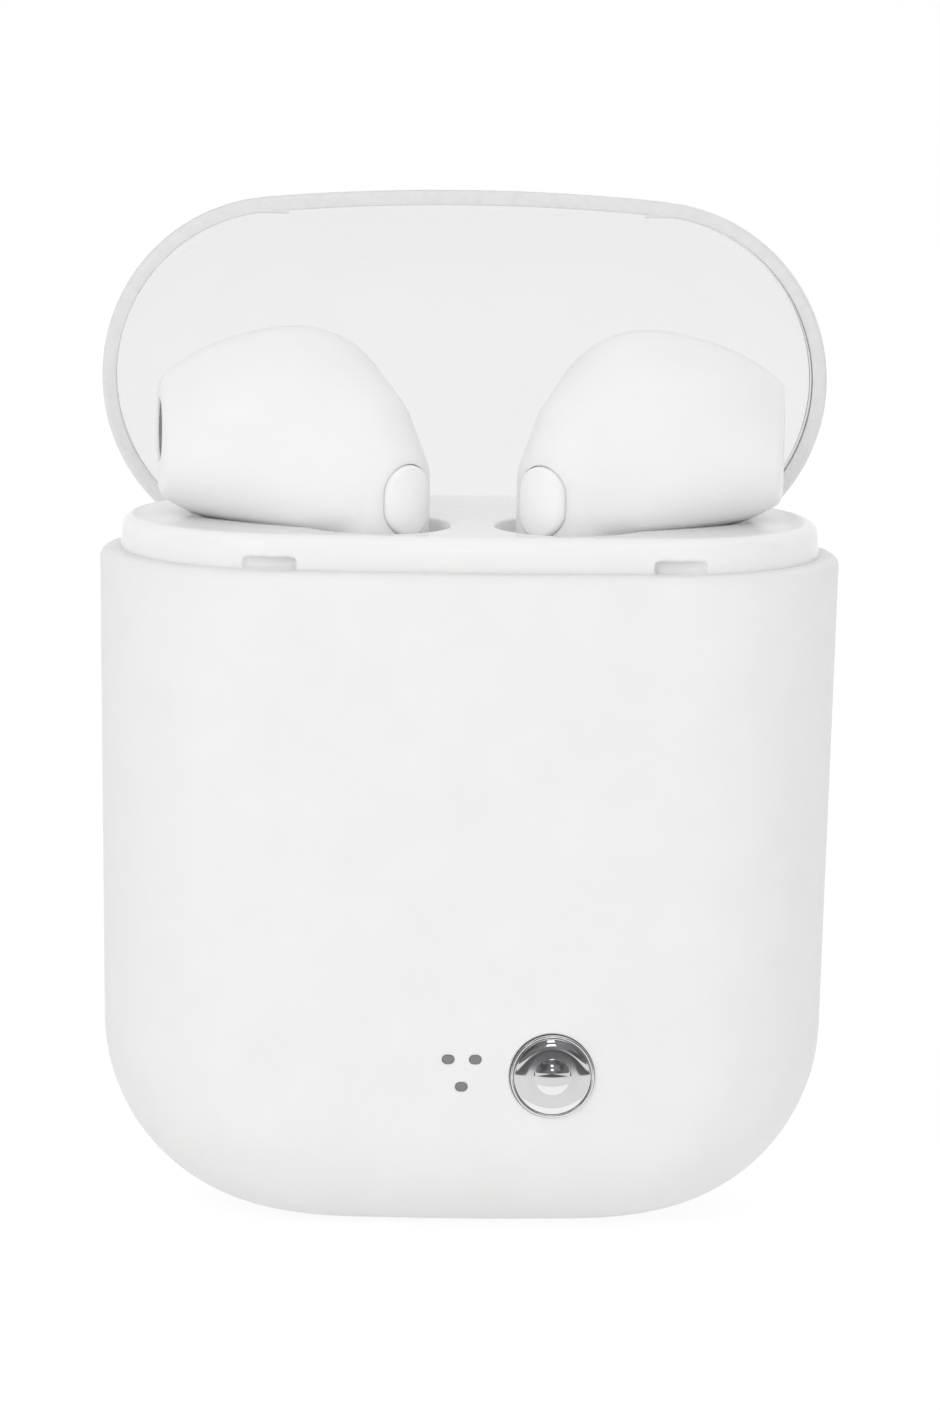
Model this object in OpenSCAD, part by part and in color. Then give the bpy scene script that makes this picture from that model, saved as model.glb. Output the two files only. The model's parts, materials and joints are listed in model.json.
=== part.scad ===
// Wireless earbud charging case with a clear hinged lid and two stem earbuds.
// Millimetres. X is right, -Y is the front, +Z is up, the base stands on Z = 0.

/* [Case] */
// Width of the body at the rim
case_w = 55; // [54:0.5:58]
// Depth of the body at the rim
case_d = 28.3; // [28:0.1:30]
// How far the front and back bow out past the round ends
bow = 0.65; // [0.4:0.05:1.2]
// Height of the rim above the base
rim_z = 49.5; // [49:0.5:54]
// Wall of the body
wall = 1.6; // [1.4:0.1:1.8]
// Slope of the body sides in degrees
draft = 1.2; // [0.8:0.1:1.4]
// Radius of the bottom corners seen from the front
corner_r = 14; // [12:0.5:15]
// Radius of the bottom edge seen from the side
belly_r = 8; // [8:0.5:9.5]
// Rounding of the outer rim edge
rim_round = 0.75; // [0.6:0.05:1.1]

/* [Lid] */
// Wall of the clear lid
lid_wall = 1.1; // [0.9:0.1:1.1]
// Height of the lid
lid_h = 18.6; // [18.4:0.1:20]
// Gap between the lid and the rim
lid_gap = 0.25; // [0.2:0.05:0.4]
// Rounding of the lid at its ends
lid_end_r = 13.1; // [12:0.1:13.5]
// Rounding of the lid at its front and back
lid_side_r = 8.1; // [7:0.1:8.5]

/* [Hinge] */
// Hinge pin radius
pin_r = 0.5; // [0.4:0.05:0.55]
// Hinge barrel radius
barrel_r = 0.95; // [0.9:0.05:1]
// Hinge axis inside the rear face
hinge_in = 1.3; // [1.2:0.05:1.4]
// Hinge axis below the rim
hinge_down = 1.65; // [1.6:0.05:1.8]
// Half length of the lid knuckle
knuckle_x = 8.2; // [6:0.1:9]
// Length of each body ear
ear_len = 2.5; // [2:0.1:3]
// Rest angle of the open lid
open_angle = 95; // [0:1:95]

/* [Tray] */
// Ledge of the rim left around the tray collar
ledge = 1.5; // [1.45:0.05:1.55]
// Height of the tray collar above the rim
collar_h = 2.55; // [2:0.05:2.8]
// Wall of the tray
tray_wall = 1.2; // [1:0.1:1.3]
// Depth of the skirt inside the body
skirt_h = 3; // [2:0.5:5]
// Half spacing of the two catch windows
catch_x = 15.1; // [14:0.1:15.2]
// Width of a catch window
catch_w = 3.9; // [3.5:0.1:4.5]
// Height of a catch window
catch_h = 0.9; // [0.7:0.1:1.2]
// Height of the catch ridge on the lid
ridge_out = 0.1; // [0.05:0.05:0.15]

/* [Earbud] */
// Distance of a stem axis from the middle
stem_x = 7.1; // [7:0.1:7.4]
// Stem axis in front of the middle
stem_front = 4.8; // [4.6:0.1:5]
// Stem radius
stem_r = 3.9; // [3.8:0.05:4]
// Length of the stem below the rim
stem_below = 22.5; // [21.5:0.5:23]
// Distance of a head from the middle
head_x = 13.1; // [12.9:0.1:13.2]
// Head centre behind the middle
head_back = 0.3; // [0.2:0.1:0.6]
// Head centre above the rim
head_up = 9.1; // [9:0.05:9.2]
// Head radius
head_r = 7.5; // [7.3:0.05:7.6]
// Nozzle face distance from the head centre
nozzle_len = 10.2; // [9.8:0.1:10.3]
// Wall of the earbud shells
bud_wall = 0.9; // [0.8:0.05:1]
// Earbud button half width
bud_button_w = 2; // [1.7:0.05:2.1]
// Earbud button height
bud_button_h = 5.3; // [4.6:0.1:5.6]
// Earbud button angle from the front
bud_button_turn = 38; // [30:1:50]

/* [Front features] */
// Power button middle to the right
button_x = 6.25; // [6:0.05:7.5]
// Power button middle above the base
button_z = 12.25; // [12:0.05:13.5]
// Power button radius
button_r = 2.85; // [2.6:0.05:3]
// Indicator hole width
led_w = 0.9; // [0.8:0.05:1]
// Indicator hole height
led_h = 0.68; // [0.5:0.02:0.7]
// Middle of the indicator group to the right
led_mid = -0.45; // [-0.6:0.05:0.6]
// Half spacing of the upper indicator holes
led_x = 1; // [0.9:0.05:1.1]
// Height of the upper indicator holes
led_z = 13.45; // [13:0.05:14]
// Drop from the upper holes to the lower one
led_drop = 2.05; // [1.6:0.05:2.2]

/* [Electronics] */
// Socket width
usb_w = 7.5; // [7:0.1:7.8]
// Socket thickness
usb_t = 2.5; // [2.4:0.1:2.8]
// Charging cell width
cell_w = 24; // [18:1:24]
// Charging cell thickness
cell_t = 6.5; // [5:0.5:6.5]
// Circuit board thickness
board_t = 1.0; // [0.8:0.1:1]
// Travel of the power button
press = 0.3; // [0.2:0.05:0.3]

/* [Hidden] */
$fn = 64;

// Clearances
fit = 0.02;      // fixed fits
run = 0.05;      // running fits, radial
loose = 0.3;     // free space beside a moving part
eps = 0.01;

// Plan outline: round ends joined by bowed front and back
half_w = case_w / 2;
half_d = case_d / 2;
end_r = half_d - bow;
end_cx = half_w - end_r;
bow_t = 2 * atan2(bow, end_cx);
bow_r = end_cx / sin(bow_t) + end_r;
end_steps = 18;
bow_steps = 6;

function end_arc(i) = [for (k = [0 : end_steps])
  let (a = -(90 - bow_t) + k * (180 - 2 * bow_t) / end_steps)
  [end_cx + (end_r - i) * cos(a), (end_r - i) * sin(a)]];
function bow_arc(i) = [for (k = [1 : bow_steps - 1])
  let (a = 90 - bow_t + k * 2 * bow_t / bow_steps)
  [(bow_r - i) * cos(a), (bow_r - i) * sin(a) - (bow_r - half_d)]];
function turned(pts) = [for (p = pts) [-p.x, -p.y]];
function outline(i) = concat(end_arc(i), bow_arc(i), turned(end_arc(i)), turned(bow_arc(i)));
// A level ring: even inset i, then pulled in by ex at the ends and ey at front and back
function ring(i, ex, ey, z) = [for (p = outline(i))
  [p.x * (half_w - i - ex) / (half_w - i), p.y * (half_d - i - ey) / (half_d - i), z]];
// Pull-in of a quarter round of radius r at depth s below its spring line end
function quarter(r, s) = s >= r ? 0 : r - sqrt(r * r - (r - s) * (r - s));
function front_y(i, x) = -(sqrt((bow_r - i) * (bow_r - i) - x * x) - (bow_r - half_d));

// Body levels
floor_t = wall;
function lean(z) = (rim_z - z) * tan(draft);
round_step = 11.25;
outer_rings = concat(
  [for (a = [90 : -round_step : 0]) let (z = corner_r * (1 - sin(a)))
    ring(lean(z), quarter(corner_r, z), quarter(belly_r, z), z)],
  [for (a = [0 : 30 : 90]) let (z = rim_z - rim_round * (1 - sin(a)))
    ring(lean(z) + rim_round * (1 - cos(a)), 0, 0, z)]);
inner_corner_r = corner_r - wall;
inner_belly_r = belly_r - wall;
inner_rings = concat(
  [ring(wall, 0, 0, rim_z)],
  [for (a = [0 : round_step : 90]) let (s = inner_corner_r * (1 - sin(a)), z = floor_t + s)
    ring(lean(z) + wall, quarter(inner_corner_r, s), quarter(inner_belly_r, s), z)]);

// Lid levels
lid_z = rim_z + lid_gap;
lid_top = lid_z + lid_h;
lid_rings = concat(
  [for (a = [90 : -round_step : 0]) let (s = (lid_end_r - lid_wall) * (1 - sin(a)))
    ring(lid_wall, quarter(lid_end_r - lid_wall, s), quarter(lid_side_r - lid_wall, s),
      lid_top - lid_wall - s)],
  [ring(lid_wall, 0, 0, lid_z), ring(0, 0, 0, lid_z)],
  [for (a = [0 : round_step : 90]) let (s = lid_end_r * (1 - sin(a)))
    ring(0, quarter(lid_end_r, s), quarter(lid_side_r, s), lid_top - s)]);

// Tray levels
tray_top = rim_z + collar_h;
skirt_in = wall + 0.1;
collar_round = 1;
collar_lean = 0.1;
deck_t = 1.25;
collar_rings = concat(
  [ring(ledge, 0, 0, rim_z)],
  [for (a = [0 : 22.5 : 90]) ring(ledge + collar_lean + collar_round * (1 - cos(a)), 0, 0,
    tray_top - collar_round * (1 - sin(a)))]);

// Hinge
hinge_y = half_d - hinge_in;
hinge_z = rim_z - hinge_down;
ear_x = knuckle_x + 0.25;
notch_x = ear_x + ear_len + 0.3;
notch_z = hinge_z - 1.5;

// Earbud
stem_y = -stem_front;
stem_z = rim_z - stem_below;
stem_top = rim_z + 5.9;
neck_out = 1.3;
neck_back = 0.3;
neck_down = 2;
bend_out = 1.5;     // the stem bends over into the head
bend_back = 1.6;
bend_up = 3;
bend_more = 0.3;
head_y = head_back;
head_z = rim_z + head_up;
droop = 6.5;
toe = 4.4;
cap_t = 0.9;
nozzle_a = 12.4;
nozzle_steps = 9;
grille_r = 2.3;
grille_t = 0.35;
grille_in = 0.15;   // set back from the nozzle face
grille_up = 0.9;    // above the middle of the nozzle face
face_over = 0.8;    // nozzle length past the face plane before it is cut
face_edge_r = 3.85;
bud_button_z = rim_z + 4.65;
bud_cavity_r = stem_r - bud_wall;
contact_dx = 1.7;
contact_r = 0.7;
function nozzle_r(d) = head_r * sqrt(1 - (d / nozzle_a) * (d / nozzle_a));
// Half section of the head and nozzle: a quarter round, then the nozzle ellipse
function head_profile(inset, last) = concat(
  [for (a = [-90 : 10 : -10]) [(head_r - inset) * cos(a), (head_r - inset) * sin(a)]],
  [for (k = [0 : nozzle_steps]) let (d = last * k / nozzle_steps) [nozzle_r(d) - inset, d]],
  [[0, last]]);
function capsule(w, h) = concat(
  [for (a = [0 : 15 : 180]) [w * cos(a), h / 2 - w + w * sin(a)]],
  [for (a = [180 : 15 : 360]) [w * cos(a), -h / 2 + w + w * sin(a)]]);

// Wells and troughs in the tray
well_r = stem_r + loose;
mouth_r = 5.5;
mouth_h = 3.6;
well_floor = stem_z - loose;
floor_plate = 1.2;
trough_r = head_r + 0.35;
trough_in = 8;
trough_out = head_x + 8.9;

// Contact pins
tip_z = stem_z - 0.05;
contact_board_z = well_floor - floor_plate - 2.1 - board_t;
barrel_z = contact_board_z + board_t;
pin_barrel_r = 0.75;
pin_barrel_top = well_floor - 0.2;
pin_body_r = 0.5;
pin_tip_r = 0.35;
pin_shoulder = well_floor - 1.05;
pin_body_h = 0.7;
spring_foot = barrel_z + 0.35;
spring_top = pin_shoulder - pin_body_h - eps;
spring_turns = 3;
spring_r = 0.36;
wire_r = 0.08;

// Boards and cell
board_in = 6.05;   // inner front face to the main board
board_front = board_in - half_d + wall;
board_back = board_front + board_t;
main_half = 14;
main_z = floor_t + 2.4;
main_h = contact_board_z - 0.8 - main_z;
usb_z = 0.8;
usb_h = 5.6;
usb_y = board_back + usb_t / 2;
slot_gap = 0.3;
screw_r = 0.5;
screw_head_r = 1.0;
screw_head_h = 0.6;
screw_len = 3.8;
boss_r = 1.7;
boss_x = 11.5;
boss_z = main_z + main_h - 3.1;
tray_boss_y = [stem_y - 1.8, stem_y + 1.8];
pad_t = 3.2;
pad_half = 8;
back_gap = 1.25;   // inner rear face at the rim to the pad, for the sloping wall
cell_front = half_d - wall - back_gap - pad_t - cell_t;
cell_z = floor_t + 3.4;
cell_h = contact_board_z - 1.9 - cell_z;
pad_z = cell_z + 4.5;
pad_h = cell_z + cell_h - 1 - pad_z;
chip_z = main_z + 4;
lead_x = cell_w / 2 - 4;

// Indicator lights, two above and one below
led_spots = [[led_mid - led_x, led_z], [led_mid + led_x, led_z], [led_mid, led_z - led_drop]];

// Power button stack, measured back from the front face at the button
button_face = front_y(lean(button_z), button_x);
ring_t = 0.25;
ring_back = button_face + 1.25;
flange_t = 0.4;
switch_side = 6;
switch_t = 3.5;
switch_top = board_front - switch_t;
plunger_r = 1.7;
plunger_out = 1.0;
plunger_in = 1.2;
button_proud = 0.34;
button_crest_r = 1.55;
button_swell_r = 2.9;
button_boss_r = 1.4;
button_boss_round = 3.6;
function swell_drop(r) = button_swell_r - sqrt(pow(button_swell_r, 2) - pow(max(0, r - button_crest_r), 2));
function boss_sag(r) = button_boss_round - sqrt(pow(button_boss_round, 2) - r * r);

module solid(rings) {
  n = len(rings[0]);
  m = len(rings);
  pts = [for (r = rings) for (p = r) p];
  sides = [for (k = [0 : m - 2]) for (i = [0 : n - 1]) let (j = (i + 1) % n)
    each [[k * n + i, (k + 1) * n + i, (k + 1) * n + j], [k * n + i, (k + 1) * n + j, k * n + j]]];
  polyhedron(points = pts, convexity = 6, faces = concat(
    [[for (i = [0 : n - 1]) i]], sides, [[for (i = [n - 1 : -1 : 0]) (m - 1) * n + i]]));
}

// Round wire along a list of points, eight sides
function unit(v) = v / norm(v);
function heading(p, k) = unit(p[min(k + 1, len(p) - 1)] - p[max(k - 1, 0)]);
function wire_ring(p, k, r, sides) = let (d = heading(p, k), up = abs(d.x) > 0.9 ? [0, 0, 1] : [1, 0, 0],
  u = unit(cross(d, up)), v = cross(d, u))
  [for (s = [0 : sides - 1]) p[k] + r * cos(s * 360 / sides) * u + r * sin(s * 360 / sides) * v];
module wire(p, r, sides = 8) {
  solid([for (k = [0 : len(p) - 1]) wire_ring(p, k, r, sides)]);
}
// Smooth run through corner points, each corner rounded with three points
function bend(p) = concat([p[0]], [for (k = [1 : len(p) - 2]) each [
  p[k] * 0.75 + p[k - 1] * 0.25, p[k] * 0.82 + p[k - 1] * 0.09 + p[k + 1] * 0.09,
  p[k] * 0.75 + p[k + 1] * 0.25]], [p[len(p) - 1]]);

// Oval of the indicator holes, wider than it is tall
module led_oval(gap, h) {
  linear_extrude(h) rotate(90) polygon(capsule(led_h / 2 + gap, led_w + 2 * gap));
}

module along_y(y, x, z) {
  translate([x, y, z]) rotate([-90, 0, 0]) children();
}

module body_ear(side) {
  translate([side * (ear_x + ear_len / 2), 0, 0]) {
    translate([-ear_len / 2, hinge_y, hinge_z]) rotate([0, 90, 0]) cylinder(r = barrel_r, h = ear_len);
    translate([-ear_len / 2, hinge_y - barrel_r, notch_z - 0.6])
      cube([ear_len, 2 * barrel_r - 0.1, hinge_z - notch_z + 0.6]);
  }
}

module outer_shell() {
  color("white") difference() {
    union() {
      difference() {
        solid(concat(outer_rings, inner_rings));
        translate([-notch_x, half_d - 3, notch_z]) cube([2 * notch_x, 6, rim_z]);
      }
      for (side = [-1, 1]) {
        body_ear(side);
        along_y(front_y(lean(boss_z), boss_x) + wall / 2, side * boss_x, boss_z)
          cylinder(r = boss_r, h = board_front - front_y(lean(boss_z), boss_x) - wall / 2);
      }
    }
    translate([-notch_x, hinge_y, hinge_z]) rotate([0, 90, 0]) cylinder(r = pin_r + fit, h = 2 * notch_x);
    for (side = [-1, 1]) {
      along_y(board_front - screw_len, side * boss_x, boss_z) cylinder(r = screw_r + fit, h = screw_len + 1);
    }
    for (p = led_spots) along_y(-half_d, p[0], p[1]) led_oval(fit, 4);
    along_y(-half_d, button_x, button_z) cylinder(r = button_r + ring_t + run, h = 4);
    translate([-usb_w / 2 - slot_gap, usb_y - usb_t / 2 - slot_gap, -1])
      cube([usb_w + 2 * slot_gap, usb_t + 2 * slot_gap, floor_t + 2.5]);
  }
}

module lid_closed() {
  front = front_y(lid_wall, catch_x);
  difference() {
    union() {
      solid(lid_rings);
      translate([-knuckle_x, hinge_y, hinge_z]) rotate([0, 90, 0]) cylinder(r = barrel_r, h = 2 * knuckle_x);
      translate([-knuckle_x, hinge_y + 0.1, hinge_z])
        cube([2 * knuckle_x, barrel_r - 0.15, lid_z - hinge_z + 0.2]);
      for (side = [-1, 1])
        translate([side * catch_x, front - 0.3, lid_z + 0.4]) rotate([0, 90, 0])
          translate([0, 0, -catch_w / 2 + 0.35])
            linear_extrude(catch_w - 0.7)
              polygon([[-0.35, 0], [-0.35, 0.3], [0, 0.3 + ridge_out], [0.35, 0.3], [0.35, 0]]);
    }
    translate([-knuckle_x - 1, hinge_y, hinge_z]) rotate([0, 90, 0])
      cylinder(r = pin_r + run, h = 2 * knuckle_x + 2);
  }
}

module lid() {
  color([0.85, 0.87, 0.9, 0.4])
    translate([0, hinge_y, hinge_z]) rotate([-open_angle, 0, 0]) translate([0, -hinge_y, -hinge_z])
      lid_closed();
}

module hinge_pin() {
  color("silver") translate([-ear_x - ear_len + 0.1, hinge_y, hinge_z]) rotate([0, 90, 0])
    cylinder(r = pin_r, h = 2 * (ear_x + ear_len - 0.1));
}

module trough_housing(side) {
  intersection() {
    translate([side > 0 ? trough_in - 1 : -trough_out - 1, head_y, head_z]) rotate([0, 90, 0])
      cylinder(r = trough_r + tray_wall, h = trough_out - trough_in + 2);
    translate([0, 0, rim_z - skirt_h]) linear_extrude(skirt_h + collar_h - 0.8)
      polygon(outline(skirt_in + tray_wall / 2));
  }
}

// Free space under the neck between a stem and its head, drawn for the right side
neck_reach = 4;
module neck_room() {
  hull() {
    translate([stem_x, stem_y, stem_top]) sphere(r = stem_r + loose, $fn = 32);
    translate([head_x, head_y, head_z]) sphere(r = head_r + loose, $fn = 32);
    neck_ball(loose);
    nozzle_frame() translate([0, 0, neck_reach]) sphere(r = nozzle_r(neck_reach) + loose, $fn = 32);
  }
}

module inner_tray() {
  window_y = front_y(ledge, catch_x);
  color("whitesmoke") difference() {
    union() {
      difference() {
        union() {
          solid(collar_rings);
          translate([0, 0, rim_z - skirt_h]) linear_extrude(skirt_h + eps) polygon(outline(skirt_in));
        }
        translate([0, 0, rim_z - skirt_h - 1])
          linear_extrude(skirt_h + 1 + collar_h - deck_t) polygon(outline(skirt_in + tray_wall));
      }
      for (side = [-1, 1]) {
        translate([side * stem_x, stem_y, well_floor - floor_plate])
          cylinder(r = well_r + tray_wall, h = tray_top - well_floor + floor_plate - 0.8);
        trough_housing(side);
      }
      translate([-stem_x / 2, tray_boss_y[0] - boss_r, well_floor - floor_plate])
        cube([stem_x, tray_boss_y[1] - tray_boss_y[0] + 2 * boss_r, floor_plate]);
      for (y = tray_boss_y)
        translate([0, y, barrel_z]) cylinder(r = 1.3, h = well_floor - floor_plate - barrel_z + eps);
    }
    for (side = [-1, 1]) {
      translate([side * stem_x, stem_y, well_floor]) cylinder(r = well_r, h = tray_top);
      translate([side * stem_x, stem_y, tray_top - mouth_h])
        cylinder(r1 = well_r, r2 = mouth_r + (mouth_r - well_r) / mouth_h, h = mouth_h + 1);
      translate([side > 0 ? trough_in : -trough_out, head_y, head_z]) rotate([0, 90, 0])
        cylinder(r = trough_r, h = trough_out - trough_in);
      pick(side) neck_room();
      translate([side * catch_x - catch_w / 2, window_y - 1, rim_z - 0.05])
        cube([catch_w, 1.8, catch_h + 0.05]);
      for (dx = [-contact_dx, contact_dx])
        translate([side * stem_x + dx, stem_y, well_floor - floor_plate - 1])
          cylinder(r = pin_barrel_r + fit, h = floor_plate + 2);
    }
    for (y = tray_boss_y)
      translate([0, y, barrel_z - 1]) cylinder(r = screw_r + fit, h = screw_len + 0.2);
    translate([-notch_x - 0.1, hinge_y - barrel_r - loose, rim_z - skirt_h - 1])
      cube([2 * notch_x + 0.2, 5, skirt_h + 1 - 0.3]);
  }
}

module power_button() {
  // A ring-shaped swell with a low round boss in its middle
  dome = concat(
    [for (k = [0 : 6]) let (r = button_r - k * (button_r - button_boss_r) / 6)
      [r, button_proud - swell_drop(r)]],
    [for (k = [1 : 5]) let (r = button_boss_r * (1 - k / 5))
      [r, button_proud + boss_sag(button_boss_r) - boss_sag(r)]]);
  color("silver") along_y(button_face, button_x, button_z) {
    rotate([180, 0, 0]) rotate_extrude() polygon(concat([[0, -1.35], [button_r, -1.35]], dome));
    translate([0, 0, 1.35 - eps]) cylinder(r = button_r + ring_t - 0.05, h = flange_t + eps);
    translate([0, 0, 1.35]) cylinder(r = 1.2, h = switch_top - plunger_out - button_face - 1.35);
  }
}

module button_ring() {
  color("silver") along_y(button_face - 0.2, button_x, button_z) difference() {
    cylinder(r = button_r + ring_t, h = ring_back - button_face + 0.2);
    translate([0, 0, -1]) cylinder(r = button_r + run, h = 5);
  }
}

module button_switch() {
  color("dimgray") difference() {
    translate([button_x - switch_side / 2, switch_top, button_z - switch_side / 2])
      cube([switch_side, switch_t, switch_side]);
    along_y(switch_top - 1, button_x, button_z)
      cylinder(r = plunger_r + run, h = 1 + plunger_in + press + 0.3);
  }
}

module switch_plunger() {
  color("black") along_y(switch_top - plunger_out, button_x, button_z)
    cylinder(r = plunger_r, h = plunger_out + plunger_in);
}

module light_guide() {
  plate_y = front_y(lean(led_z), led_mid) + wall + 0.25;
  color("gainsboro") union() {
    for (p = led_spots) {
      along_y(front_y(lean(p[1]), p[0]) + 0.15, p[0], p[1]) led_oval(0, wall + 0.4);
      along_y(plate_y, p[0], p[1]) cylinder(r = 0.6, h = board_front - 0.65 - plate_y);
    }
    translate([led_mid - led_x - 0.9, plate_y, led_z - led_drop - 0.9])
      cube([2 * led_x + 1.8, 0.7, led_drop + 1.8]);
  }
}

module status_leds() {
  color("lightyellow") for (p = led_spots)
    translate([p[0] - 0.5, board_front - 0.6, p[1] - 0.3]) cube([1, 0.6, 0.6]);
}

module main_board() {
  color("green") difference() {
    translate([-main_half, board_front, main_z]) cube([2 * main_half, board_t, main_h]);
    for (side = [-1, 1])
      along_y(board_front - 1, side * boss_x, boss_z) cylinder(r = screw_r + fit, h = board_t + 2);
  }
}

module usb_socket() {
  skin = 0.3;
  color("silver") union() {
    difference() {
      translate([-usb_w / 2, usb_y - usb_t / 2, usb_z]) cube([usb_w, usb_t, usb_h]);
      translate([-usb_w / 2 + skin, usb_y - usb_t / 2 + skin, usb_z - 1])
        cube([usb_w - 2 * skin, usb_t - 2 * skin, usb_h]);
    }
    translate([-usb_w / 2 + 1.4, usb_y - 0.3, usb_z + 1]) cube([usb_w - 2.8, 0.6, usb_h - 1.5]);
  }
}

module power_chips() {
  color("black") translate([0, board_back, chip_z]) {
    translate([-9.5, 0, 2]) cube([5, 1, 5]);
    translate([-2.5, 0, 1.5]) cube([3.5, 1, 3.5]);
    translate([lead_x - 1 - 4, 0, 0]) cube([4, 2, 4]);
    for (k = [0 : 3]) translate([-9 + k * 1.8, 0, -0.4]) cube([1, 0.6, 0.6]);
  }
}

module battery_cell() {
  color("silver") translate([0, cell_front, cell_z]) {
    translate([-cell_w / 2, 0.6, 0]) cube([cell_w, cell_t - 1.2, cell_h]);
    translate([-cell_w / 2 + 0.8, 0, 0.4]) cube([cell_w - 1.6, cell_t, cell_h - 0.8]);
  }
}

module battery_pad() {
  color("dimgray") translate([-pad_half, cell_front + cell_t, pad_z]) cube([2 * pad_half, pad_t, pad_h]);
}

module battery_leads() {
  top = cell_z + cell_h;
  for (side = [0, 1]) let (x = lead_x + side * 1.2) color(side > 0 ? "red" : "black")
    wire(bend([[x, cell_front + cell_t / 2, top], [x, cell_front + cell_t / 2, top + 1.2],
      [x, board_back + 5, top + 1.2], [x, board_back + 3.7, top - 4.5], [x, board_back, top - 6]]), 0.35);
}

module contact_board() {
  color("green") difference() {
    translate([-stem_x - contact_dx - 2.2, stem_y - 3.8, contact_board_z])
      cube([2 * (stem_x + contact_dx + 2.2), 8, board_t]);
    for (y = tray_boss_y) translate([0, y, contact_board_z - 1]) cylinder(r = screw_r + fit, h = board_t + 2);
  }
}

module contact_leads() {
  color("yellow") for (x = [-3.75, -2.75, 2.75, 3.75])
    wire(bend([[x, board_back + 3.5, contact_board_z], [x, board_back + 3.5, contact_board_z - 1.4],
      [x, board_back + 2.1, contact_board_z - 2.9], [x, board_back, contact_board_z - 3.6]]), 0.25);
}

function pin_x(side, place) = side * stem_x + place * contact_dx;

module pin_barrels() {
  color("gold") for (side = [-1, 1], place = [-1, 1])
    translate([pin_x(side, place), stem_y, 0]) difference() {
      translate([0, 0, barrel_z]) cylinder(r = pin_barrel_r, h = pin_barrel_top - barrel_z);
      translate([0, 0, spring_foot - eps])
        cylinder(r = pin_body_r + run, h = pin_shoulder + run - spring_foot);
      translate([0, 0, pin_shoulder]) cylinder(r = pin_tip_r + run, h = 3);
    }
}

module contact_pin(side, place) {
  color("gold") translate([pin_x(side, place), stem_y, 0]) {
    translate([0, 0, pin_shoulder - pin_body_h]) cylinder(r = pin_body_r, h = pin_body_h);
    translate([0, 0, pin_shoulder - eps]) cylinder(r = pin_tip_r, h = tip_z - pin_shoulder + eps);
  }
}

module contact_spring(side, place) {
  run_h = spring_top - spring_foot - 2 * wire_r;
  color("silver") translate([pin_x(side, place), stem_y, spring_foot + wire_r])
    wire([for (k = [0 : spring_turns * 10]) let (a = k * 36)
      [spring_r * cos(a), spring_r * sin(a), run_h * k / (spring_turns * 10)]], wire_r, 6);
}

// Earbud pieces are drawn for the right side
module nozzle_frame() {
  translate([head_x, head_y, head_z]) rotate([0, 0, -toe]) rotate([0, 90 + droop, 0]) children();
}
module button_frame() {
  translate([stem_x, stem_y, bud_button_z]) rotate([0, 0, -bud_button_turn]) rotate([90, 0, 0]) children();
}

// The nozzle droops but its face stands upright
module face_frame() {
  nozzle_frame() translate([0, 0, nozzle_len]) rotate([0, -droop, 0]) children();
}

// Ball that fills the corner between the stem and the underside of the head
module neck_ball(more) {
  translate([stem_x + neck_out, stem_y + neck_back, stem_top - neck_down])
    sphere(r = stem_r + more, $fn = 30);
}

module bud_outer() {
  intersection() {
    hull() {
      nozzle_frame() rotate_extrude($fn = 30) polygon(head_profile(0, nozzle_len + face_over));
      translate([stem_x, stem_y, stem_top]) sphere(r = stem_r, $fn = 30);
      translate([stem_x + bend_out, stem_y + bend_back, stem_top + bend_up])
        sphere(r = stem_r + bend_more, $fn = 30);
      neck_ball(0);
    }
    // Flat face with a chamfered edge
    face_frame() translate([0, 0, -40]) cylinder(r1 = face_edge_r + 40, r2 = face_edge_r, h = 40, $fn = 60);
  }
  translate([stem_x, stem_y, stem_z + cap_t]) cylinder(r = stem_r, h = stem_top - stem_z - cap_t);
}

module bud_cavity() {
  nozzle_frame() rotate_extrude() polygon(head_profile(bud_wall, nozzle_len - bud_wall - 0.3));
  face_frame() translate([-grille_up, 0, 0]) {
    translate([0, 0, -2.5]) cylinder(r = grille_r - 0.5, h = 3);
    translate([0, 0, -grille_t - grille_in]) cylinder(r = grille_r + fit, h = 2);
  }
  translate([stem_x, stem_y, stem_z - 1]) cylinder(r = bud_cavity_r, h = stem_top - stem_z + 2.2);
  button_frame() linear_extrude(stem_r + 2) polygon(capsule(bud_button_w + 0.08, bud_button_h + 0.16));
}

module bud_half(front) {
  difference() {
    intersection() {
      bud_outer();
      translate([0, front ? head_y - 20 : head_y, stem_z]) cube([40, 20, 60]);
    }
    bud_cavity();
  }
}

module bud_button() {
  proud = stem_r + 0.3;
  intersection() {
    button_frame() union() {
      translate([0, 0, 1.3]) linear_extrude(stem_r) polygon(capsule(bud_button_w, bud_button_h));
      translate([0, 0, 1.3]) linear_extrude(0.5) polygon(capsule(bud_button_w + 0.15, bud_button_h - 1));
    }
    translate([stem_x, stem_y, stem_top]) rotate_extrude() polygon(concat([[0, -10], [proud, -10]],
      [for (a = [0 : 10 : 90]) [proud * cos(a), proud * sin(a)]]));
  }
}

module bud_switch() {
  button_frame() difference() {
    translate([-1.3, -1.5, -0.3]) cube([2.6, 3, 1.1]);
    translate([0, 0, -0.2]) cylinder(r = 0.6 + run, h = 2);
  }
}

module bud_plunger() {
  button_frame() translate([0, 0, 0.15]) cylinder(r = 0.6, h = 1.15);
}

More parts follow.
